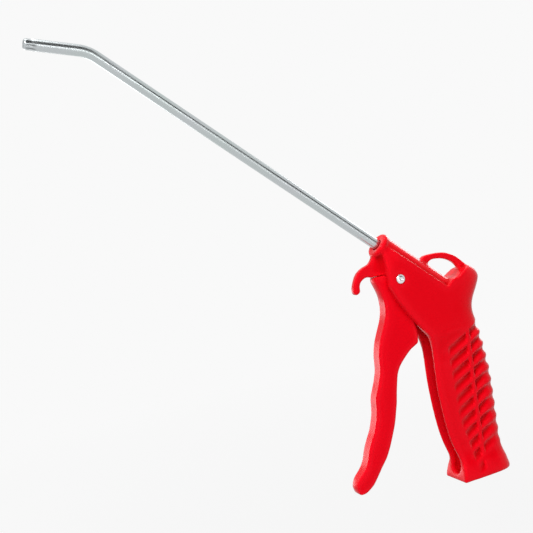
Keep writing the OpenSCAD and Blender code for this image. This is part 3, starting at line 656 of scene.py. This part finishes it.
def soft_moulding(node, name, voxel, rounding, evening, bores, recut):
    """A moulded skin: the CAD solid remade in fine, even faces, with softened edges."""
    o = merged_copy(node, name)
    remesh = o.modifiers.new("even_faces", "REMESH")
    remesh.mode = "VOXEL"
    remesh.voxel_size = voxel
    remesh.adaptivity = 0
    mesh = finished_mesh(o)
    p, e, count = net_of(mesh)
    raw = p.copy()
    for _ in range(rounding):
        p += 0.5 * (neighbour_mean(p, e, count) - p)
    bend = np.linalg.norm(neighbour_mean(p, e, count) - p, axis=1, keepdims=True) / voxel
    busy = np.clip(bend / 0.04 - 0.4, 0, 1)
    for _ in range(6):
        busy = np.maximum(busy, np.minimum(1.15 * neighbour_mean(busy, e, count), 1))
    for _ in range(6):
        busy = neighbour_mean(busy, e, count)
    for _ in range(evening):
        p += 0.6 * (1 - busy) * (neighbour_mean(p, e, count) - p)
    p = keep_bores(p, normals_of(mesh, p), bores)
    set_points(mesh, recut(raw, p))
    if 2 * len(mesh.polygons) > FACE_LIMIT:
        thin = o.modifiers.new("fewer_faces", "DECIMATE")
        thin.ratio = FACE_LIMIT / (2 * len(mesh.polygons))
        mesh = finished_mesh(o)
    store_form(mesh)
    mesh.shade_smooth()
    return o


def turned(name, outline, centre, axis, steps=64, closed=False):
    """A lathe piece: an outline of (radius, height) in mm, turned round an axis."""
    b = bmesh.new()
    axis = Vector(axis).normalized()
    side = axis.orthogonal().normalized()
    third = axis.cross(side)
    rings = []
    for r, h in outline:
        foot = Vector(centre) + h * MM * axis
        if r == 0:
            rings.append([b.verts.new(foot)])
        else:
            rings.append([
                b.verts.new(foot + r * MM * (cos(angle) * side + sin(angle) * third))
                for angle in (2 * pi * k / steps for k in range(steps))
            ])
    pairs = list(zip(rings, rings[1:]))
    if closed:
        pairs.append((rings[-1], rings[0]))
    for u, v in pairs:
        for k in range(steps):
            j = (k + 1) % steps
            quad = (u[k % len(u)], u[j % len(u)], v[j % len(v)], v[k % len(v)])
            quad = list(dict.fromkeys(quad))
            if len(quad) > 2:
                b.faces.new(quad)
    bmesh.ops.recalc_face_normals(b, faces=b.faces)
    mesh = bpy.data.meshes.new(name)
    b.to_mesh(mesh)
    b.free()
    mesh.shade_smooth()
    mesh.set_sharp_from_angle(angle=radians(38))
    return add_object(name, mesh)


# ---------------------------------------------------------------- geometry node helpers
class Tree:
    """A geometry node tree with named inputs for its sizes."""

    def __init__(self, name, sizes):
        self.t = bpy.data.node_groups.new(name, "GeometryNodeTree")
        self.t.interface.new_socket("Geometry", in_out="INPUT", socket_type="NodeSocketGeometry")
        self.ids = {}
        for kind, label in sizes:
            s = self.t.interface.new_socket(label, in_out="INPUT", socket_type="NodeSocket" + kind)
            self.ids[label] = s.identifier
        self.t.interface.new_socket("Geometry", in_out="OUTPUT", socket_type="NodeSocketGeometry")
        self.sizes = self.t.nodes.new("NodeGroupInput")
        self.end = self.t.nodes.new("NodeGroupOutput")

    def node(self, kind, settings=None, **inputs):
        n = self.t.nodes.new(kind)
        for label, v in (settings or {}).items():
            setattr(n, label, v)
        for label, v in inputs.items():
            socket = n.inputs[int(label[1:])] if label[0] == "_" else n.inputs[label.replace("_", " ")]
            if isinstance(v, str) and v in self.ids:
                v = self.sizes.outputs[v]
            put(self.t, v, socket)
        return n

    def maths(self, kind, a, b=0.0):
        return self.node("ShaderNodeMath", {"operation": kind}, _0=a, _1=b).outputs[0]

    def soft_step(self, value, low, high):
        """A smooth rise from 0 at low to 1 at high."""
        n = self.node("ShaderNodeMapRange", {"interpolation_type": "SMOOTHSTEP"}, Value=value,
                      From_Min=low, From_Max=high, To_Min=0.0, To_Max=1.0)
        return n.outputs[0]

    def captured(self, geometry, kind, **values):
        """A node that keeps values at the points of a curve, as further outputs."""
        n = self.node("GeometryNodeCaptureAttribute", Geometry=geometry)
        for label in values:
            n.capture_items.new(kind, label)
        for label, v in values.items():
            link(self.t, v, n.inputs[label])
        return n

    def stored(self, geometry, kind, name, value):
        """Geometry with a named value at each of its points, for the materials."""
        n = self.node("GeometryNodeStoreNamedAttribute", {"data_type": kind, "domain": "POINT"},
                      Geometry=geometry, Name=name, Value=value)
        return n.outputs[0]

    def close(self, geometry, material):
        real = self.node("GeometryNodeRealizeInstances", Geometry=geometry)
        smooth = self.node("GeometryNodeSetShadeSmooth", Geometry=real.outputs[0])
        coat = self.node("GeometryNodeSetMaterial", Geometry=smooth.outputs[0], Material=material)
        link(self.t, coat.outputs[0], self.end.inputs[0])

    def make(self, name, values):
        o = add_object(name, bpy.data.meshes.new(name))
        m = o.modifiers.new("made", "NODES")
        m.node_group = self.t
        for label, v in values.items():
            m[self.ids[label]] = v
        finished_mesh(o)
        return o


def coil_tree():
    """A round wire or rolled thread along a helix, with ends that run out."""
    t = Tree("coil", [
        ("Float", "Radius"), ("Float", "Turns"), ("Float", "Length"), ("Float", "Wire radius"),
        ("Float", "Run out"), ("Vector", "Place"), ("Rotation", "Turned"), ("Material", "Finish"),
    ])
    spiral = t.node("GeometryNodeCurveSpiral", Resolution=40, Rotations="Turns", Start_Radius="Radius",
                    End_Radius="Radius", Height="Length")
    share = t.node("GeometryNodeSplineParameter").outputs["Factor"]
    near_end = t.maths("MINIMUM", share, t.maths("SUBTRACT", 1.0, share))
    grown = t.maths("DIVIDE", near_end, "Run out")
    scale = t.maths("MAXIMUM", t.maths("MINIMUM", grown, 1.0), 0.04)
    ring = t.node("GeometryNodeCurvePrimitiveCircle", Resolution=10, Radius="Wire radius")
    body = t.node("GeometryNodeCurveToMesh", Curve=spiral.outputs[0], Profile_Curve=ring.outputs[0],
                  Scale=scale, Fill_Caps=True)
    laid = t.node("GeometryNodeTransform", Geometry=body.outputs[0], Translation="Place",
                  Rotation="Turned")
    t.close(laid.outputs[0], "Finish")
    return t


COIL = coil_tree()


def coil(name, radius, turns, length, wire, run_out, start, direction, finish):
    """A coil with its radius, length and wire in mm, from a place along a direction."""
    turn = Vector((0, 0, 1)).rotation_difference(Vector(direction)).to_euler()
    return COIL.make(name, {
        "Radius": radius * MM, "Turns": float(turns), "Length": length * MM, "Wire radius": wire * MM,
        "Run out": run_out, "Place": tuple(start), "Turned": tuple(turn), "Finish": finish,
    })


PATH_STEP, JET_LIP = 0.5 * MM, 1.1 * MM
# Distances from the jet between which the folds fade out up the tube, and begin at its end
FOLDS_FADE, FOLDS_BEGIN = (6.6 * MM, 5.0 * MM), (0.6 * MM, 2.0 * MM)


def tube_tree():
    """The bent nozzle: a filleted path, a drawn-down end and crimped folds at the jet."""
    t = Tree("bent_nozzle", [
        ("Vector", "Start"), ("Vector", "Corner"), ("Vector", "End"), ("Float", "Bend radius"),
        ("Float", "Tube radius"), ("Float", "Swage length"), ("Float", "Swage share"),
        ("Float", "Fold depth"), ("Float", "Folds"), ("Float", "Fold turn"), ("Material", "Finish"),
    ])
    first = t.node("GeometryNodeCurvePrimitiveLine", Start="Start", End="Corner")
    second = t.node("GeometryNodeCurvePrimitiveLine", Start="Corner", End="End")
    both = t.node("GeometryNodeJoinGeometry")
    link(t.t, second.outputs[0], both.inputs[0])
    link(t.t, first.outputs[0], both.inputs[0])
    as_mesh = t.node("GeometryNodeCurveToMesh", Curve=both.outputs[0])
    welded = t.node("GeometryNodeMergeByDistance", Geometry=as_mesh.outputs[0])
    path = t.node("GeometryNodeMeshToCurve", Mesh=welded.outputs[0])
    round_path = t.node("GeometryNodeFilletCurve", {"mode": "POLY"}, Curve=path.outputs[0], Count=30,
                        Radius="Bend radius")
    even = t.node("GeometryNodeResampleCurve", {"mode": "LENGTH"}, Curve=round_path.outputs[0],
                  Length=PATH_STEP)
    run = t.node("GeometryNodeSplineParameter").outputs["Length"]
    whole = t.node("GeometryNodeSplineLength").outputs["Length"]
    left = t.maths("SUBTRACT", whole, run)
    kept = t.captured(even.outputs[0], "FLOAT", Along=run, Left=left)
    ring = t.node("GeometryNodeCurvePrimitiveCircle", Resolution=48, Radius="Tube radius")
    place = t.node("GeometryNodeInputPosition").outputs[0]
    ring_kept = t.captured(ring.outputs[0], "VECTOR", Round=place)
    drawn = t.soft_step(t.maths("DIVIDE", left, "Swage length"), 0.75, 1.05)
    slim = t.maths("SUBTRACT", 1.0, "Swage share")
    scale = t.maths("ADD", "Swage share", t.maths("MULTIPLY", drawn, slim))
    lip = t.maths("MINIMUM", t.maths("DIVIDE", left, JET_LIP), 1.0)
    inward = t.maths("POWER", t.maths("SUBTRACT", 1.0, lip), 2.0)
    lip_round = t.maths("SQRT", t.maths("SUBTRACT", 1.0, inward))
    closed_in = t.maths("ADD", 0.66, t.maths("MULTIPLY", lip_round, 0.34))
    body = t.node("GeometryNodeCurveToMesh", Curve=kept.outputs[0], Profile_Curve=ring_kept.outputs[0],
                  Scale=t.maths("MULTIPLY", scale, closed_in))
    parts = t.node("ShaderNodeSeparateXYZ", Vector=ring_kept.outputs["Round"])
    angle = t.maths("ADD", t.maths("ARCTAN2", parts.outputs["Y"], parts.outputs["X"]), "Fold turn")
    wave = t.maths("COSINE", t.maths("MULTIPLY", angle, "Folds"))
    groove = t.maths("POWER", t.maths("ADD", t.maths("MULTIPLY", wave, 0.5), 0.5), 3.0)
    fade = t.maths("MULTIPLY", t.soft_step(kept.outputs["Left"], *FOLDS_FADE),
                 t.soft_step(kept.outputs["Left"], *FOLDS_BEGIN))
    crease = t.maths("MULTIPLY", groove, fade)
    inwards = t.maths("MULTIPLY", t.maths("MULTIPLY", crease, "Fold depth"), -1.0)
    pressed = t.node("ShaderNodeVectorMath", {"operation": "SCALE"},
                     _0=t.node("GeometryNodeInputNormal").outputs[0], Scale=inwards)
    folded = t.node("GeometryNodeSetPosition", Geometry=body.outputs[0], Offset=pressed.outputs[0])
    flat = t.node("ShaderNodeCombineXYZ", X=parts.outputs["X"], Y=parts.outputs["Y"],
                  Z=kept.outputs["Along"])
    mapped = t.stored(folded.outputs[0], "FLOAT_VECTOR", "tube_place", flat.outputs[0])
    # The crease value is stored for the zinc material, which paints shade into the folds with it
    t.close(t.stored(mapped, "FLOAT", "crease", crease), "Finish")
    return t


# ---------------------------------------------------------------- the pieces
def on_barrel(depth):
    """A place on the barrel's axis, so many mm back from its mouth."""
    return MOUTH + depth * MM * BACK


def pivot_bore(y_from, y_to, r):
    return (PIVOT.x, y_from * MM, PIVOT.z), (PIVOT.x, y_to * MM, PIVOT.z), r * MM


def valve_bore(x_from, x_to, r):
    return (x_from * MM, 0, VALVE_Z), (x_to * MM, 0, VALVE_Z), r * MM


def stand_for(o, node, body, material=None):
    """Puts an object in the place of a CAD node, on that node's body."""
    if material:
        o.data.materials.clear()
        o.data.materials.append(material)
    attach(o, body)
    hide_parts(node)


HOUSING_BORES = [
    ((0, 0, 0), (0, 0, 9.48 * MM), 7.82 * MM),
    (on_barrel(0), on_barrel(MOUTH_STEP), 4.223 * MM),
    (on_barrel(MOUTH_STEP), on_barrel(BARREL_END), 4.12 * MM),
    pivot_bore(-8.7, -4.3, 2.02),
    pivot_bore(4.3, 8.7, 2.02),
    valve_bore(-19.0, -13.3, 4.55),
    valve_bore(-13.0, -2.9, 4.2),
    valve_bore(-2.6, 14.6, 3.35),
    ((0, 0, 9.5 * MM), (0, 0, 110 * MM), 3.0 * MM),
]
LEVER_BORES = [pivot_bore(-4, 4, 2.05)]

housing = soft_moulding("housing", "housing_shell", 0.45 * MM, 9, 50, HOUSING_BORES, recut_ribs)
stand_for(housing, "housing", "handle", RED)
lever = soft_moulding("lever", "lever_shell", 0.36 * MM, 6, 50, LEVER_BORES, shape_lever)
stand_for(lever, "lever", "squeeze_lever", LEVER_RED)

# Bent tube, from its inner end behind the ferrule to the crimped jet
corner = MOUTH - TUBE_RUN * BACK
tip_up = BARREL - TIP_BEND
tip = corner + TIP_RUN * Vector((-cos(tip_up), 0, sin(tip_up)))
tube = tube_tree().make("nozzle_tube_drawn", {
    "Start": tuple(on_barrel(BARREL_END)), "Corner": tuple(corner), "End": tuple(tip),
    "Bend radius": BEND_R, "Tube radius": TUBE_R, "Swage length": 5 * MM, "Swage share": 0.94,
    "Fold depth": 0.32 * MM, "Folds": 10.0, "Fold turn": 0.314, "Finish": ZINC,
})
wall = tube.modifiers.new("wall", "SOLIDIFY")
wall.thickness = TUBE_WALL
wall.offset = -1
finished_mesh(tube)
stand_for(tube, "nozzle_tube", "handle")

# Rivet with a dimpled crown on the near side and a rolled end over its washer
rivet = turned("pivot_rivet_turned", [
    (0, -9.02), (0.42, -9.05), (0.70, -9.22), (0.90, -9.40), (1.25, -9.42), (1.80, -9.34), (2.25, -9.14),
    (2.52, -8.92), (2.62, -8.76), (2.60, -8.72), (2.0, -8.72), (2.0, 9.34), (2.12, 9.36), (2.36, 9.50),
    (2.42, 9.74), (2.32, 9.96), (2.05, 10.04), (1.60, 9.98), (1.15, 9.75), (1.0, 9.40), (1.0, 8.60),
    (0, 8.45),
], PIVOT, (0, 1, 0))
stand_for(rivet, "pivot_rivet", "handle", RIVET)
washer = turned("rivet_washer_turned", [
    (2.02, 8.80), (2.02, 9.20), (2.10, 9.32), (3.10, 9.32), (3.26, 9.24), (3.31, 9.10), (3.31, 8.84),
    (3.24, 8.73), (2.10, 8.73),
], PIVOT, (0, 1, 0), closed=True)
stand_for(washer, "rivet_washer", "handle", RIVET)

# Brass thread insert in the foot, with its rolled inner thread
insert = turned("inlet_insert_turned", [
    (7.05, 0.0), (7.60, 0.0), (7.80, 0.20), (7.80, 9.26), (7.60, 9.46), (3.30, 9.46), (3.0, 9.16),
    (3.0, 8.33), (3.30, 8.03), (6.38, 8.03), (6.58, 7.83), (6.58, 0.55),
], (0, 0, 0), (0, 0, 1), steps=96, closed=True)
stand_for(insert, "inlet_insert", "handle", BRASS)
inlet_thread = coil("inlet_thread", 6.60, 5, 6.3, 0.46, 0.05, (0, 0, 0.9 * MM), (0, 0, 1), BRASS)
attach(inlet_thread, "handle")

# Ferrule that holds the tube in the barrel, a little back from the mouth; its brass is painted dark as
# the shade in the mouth round the tube
ferrule = turned("nozzle_ferrule_turned", [
    (3.02, 1.8), (3.70, 1.8), (4.05, 2.1), (4.05, 14.0), (3.9, 14.2), (3.02, 14.2),
], MOUTH, BACK, closed=True)
stand_for(ferrule, "nozzle_ferrule", "handle", BRASS_PAINTED_DARK)

# Coil spring of the valve, which shortens as the valve opens in the real valve; here it is made at one
# length
spring = coil("valve_spring_coiled", 2.45, 6, 11.3, 0.34, 0.004, (2.98 * MM, 0, VALVE_Z),
              (1, 0, 0), SPRING)
stand_for(spring, "valve_spring", "handle")
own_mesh(spring)

# The pieces that stay as they are in the CAD
for finish, names in (
    (VALVE_BRASS, ("valve_gland", "valve_cage", "valve_seat")),
    (STEEL, ("valve_stem",)),
    (RUBBER, ("gland_o_ring", "stem_o_ring", "seat_o_ring", "nozzle_o_ring", "poppet_seal")),
    (ACETAL, ("stem_washer", "poppet")),
):
    for name in names:
        for s in frame["nodes"][name].material_slots:
            s.material = finish


# ---------------------------------------------------------------- studio
def facing(place, aim, along):
    """A frame at a place whose -Z looks at the aim and whose X lies along a line."""
    back = (place - aim).normalized()
    x = (along - along.dot(back) * back).normalized()
    m = Matrix((x, back.cross(x), back)).transposed().to_4x4()
    m.translation = place
    return m


def soft_light(name, place, aim, size, watts, along=Vector((1, 0, 0)), lights=True, sheen=True):
    """A lamp that no camera sees. It may leave dull surfaces unlit, or not show in mirrors."""
    data = bpy.data.lights.new(name, "AREA")
    data.shape = "RECTANGLE"
    data.size, data.size_y = size
    data.energy = watts
    lamp = bpy.data.objects.new(name, data)
    scene.collection.objects.link(lamp)
    lamp.matrix_world = facing(place, aim, along)
    lamp.visible_camera = False
    lamp.visible_diffuse = lights
    lamp.visible_glossy = sheen


def flat_sheet(name, width, height, z=0.0):
    w, h = width / 2, height / 2
    mesh = bpy.data.meshes.new(name)
    mesh.from_pydata([(-w, -h, z), (w, -h, z), (w, h, z), (-w, h, z)], [], [(0, 1, 2, 3)])
    return add_object(name, mesh)


def dark_strip(name, place, aim, size, along):
    """A strip of black felt that only mirrors see: it draws the dark line along bright metal."""
    o = flat_sheet(name, *size)
    o.matrix_world = facing(place, aim, along)
    for seen_by in ("camera", "diffuse", "transmission", "volume_scatter", "shadow"):
        setattr(o, "visible_" + seen_by, False)
    felt, _, shader = blank_material("black_felt", 1.0, specular=0.0)
    shader.inputs["Base Color"].default_value = (0.02, 0.02, 0.02, 1)
    o.data.materials.append(felt)


MID = Vector((-0.05, 0, 0.12))
TUBE_MID = MOUTH - 0.5 * TUBE_RUN * BACK
TIP_BACK = Vector((0.969, 0, -0.245))
TIP_MID = Vector((-0.196, 0, 0.278))
for name, away, size, watts, sheen in (
    ("key", (-0.85, -0.80, 0.85), (0.5, 0.5), 15.0, True),
    ("side", (0.25, -1.05, 0.70), (0.6, 0.6), 4.2, False),
    ("low_fill", (-0.30, -1.10, -0.02), (0.5, 0.2), 1.7, False),
    ("rim", (-0.276, 0.525, -0.06), (0.30, 0.24), 0.6, True),
    ("back", (0.95, 0.55, 0.30), (0.4, 0.4), 2.4, True),
    ("top", (-0.10, 0.15, 1.2), (0.6, 0.4), 6.0, True),
):
    soft_light(name, MID + Vector(away), MID, size, watts, sheen=sheen)

# A bright line and a dark one beside it, along the tube and along its tip
soft_light("tube_line", Vector((-0.07, -0.58, 0.082)), TUBE_MID, (0.5, 0.025), 0.10,
           along=BACK, lights=False)
soft_light("tip_line", Vector((-0.10, -0.58, 0.28)), TIP_MID, (0.22, 0.04), 0.13,
           along=TIP_BACK, lights=False)
dark_strip("tube_shade", Vector((0.185, -0.58, 0.39)), TUBE_MID, (0.9, 0.27), BACK)
dark_strip("tip_shade", TIP_MID + Vector((0.2064, -0.348, 0.4428)), TIP_MID, (0.4, 0.26), TIP_BACK)

WHITE = 0.947


def white_when_seen(tree, plain, strength):
    """Mixes a plain shader with white for the camera, mirrors and glass."""
    kind = "Background" if plain.node.bl_idname == "ShaderNodeBackground" else "Emission"
    white = tree.nodes.new("ShaderNode" + kind)
    white.inputs["Color"].default_value = (WHITE, WHITE, WHITE, 1)
    white.inputs["Strength"].default_value = 1.0
    rays = tree.nodes.new("ShaderNodeLightPath")
    seen = maths(tree, "MAXIMUM", rays.outputs["Is Camera Ray"], rays.outputs["Is Glossy Ray"])
    seen = maths(tree, "MAXIMUM", seen, rays.outputs["Is Transmission Ray"])
    seen = maths(tree, "MULTIPLY", seen, strength)
    mix = tree.nodes.new("ShaderNodeMixShader")
    link(tree, seen, mix.inputs[0])
    link(tree, plain, mix.inputs[1])
    link(tree, white.outputs[0], mix.inputs[2])
    return mix.outputs[0]


world = bpy.data.worlds.new("studio")
world.use_nodes = True
tree = world.node_tree
sky = tree.nodes["Background"]
sky.inputs["Color"].default_value = (0.93, 0.95, 1.0, 1)
sky.inputs["Strength"].default_value = 0.26
link(tree, white_when_seen(tree, sky.outputs[0], 1.0), tree.nodes["World Output"].inputs[0])
scene.world = world

floor = flat_sheet("studio_floor", 12, 12, FLOOR_Z)
paper, tree, pb = blank_material("pale_paper", 0.9, specular=0.0)
pb.inputs["Base Color"].default_value = (0.35, 0.35, 0.35, 1)
reach = tree.nodes.new("ShaderNodeVectorMath")
reach.operation = "LENGTH"
link(tree, object_place(tree, shift=(0.06, 0, -FLOOR_Z)), reach.inputs[0])
fade = spread(tree, reach.outputs["Value"], 0.2, 0.8, 0.955, 1.0)
link(tree, white_when_seen(tree, pb.outputs[0], fade), tree.nodes["Material Output"].inputs[0])
floor.data.materials.append(paper)

scene.view_settings.view_transform = "Standard"
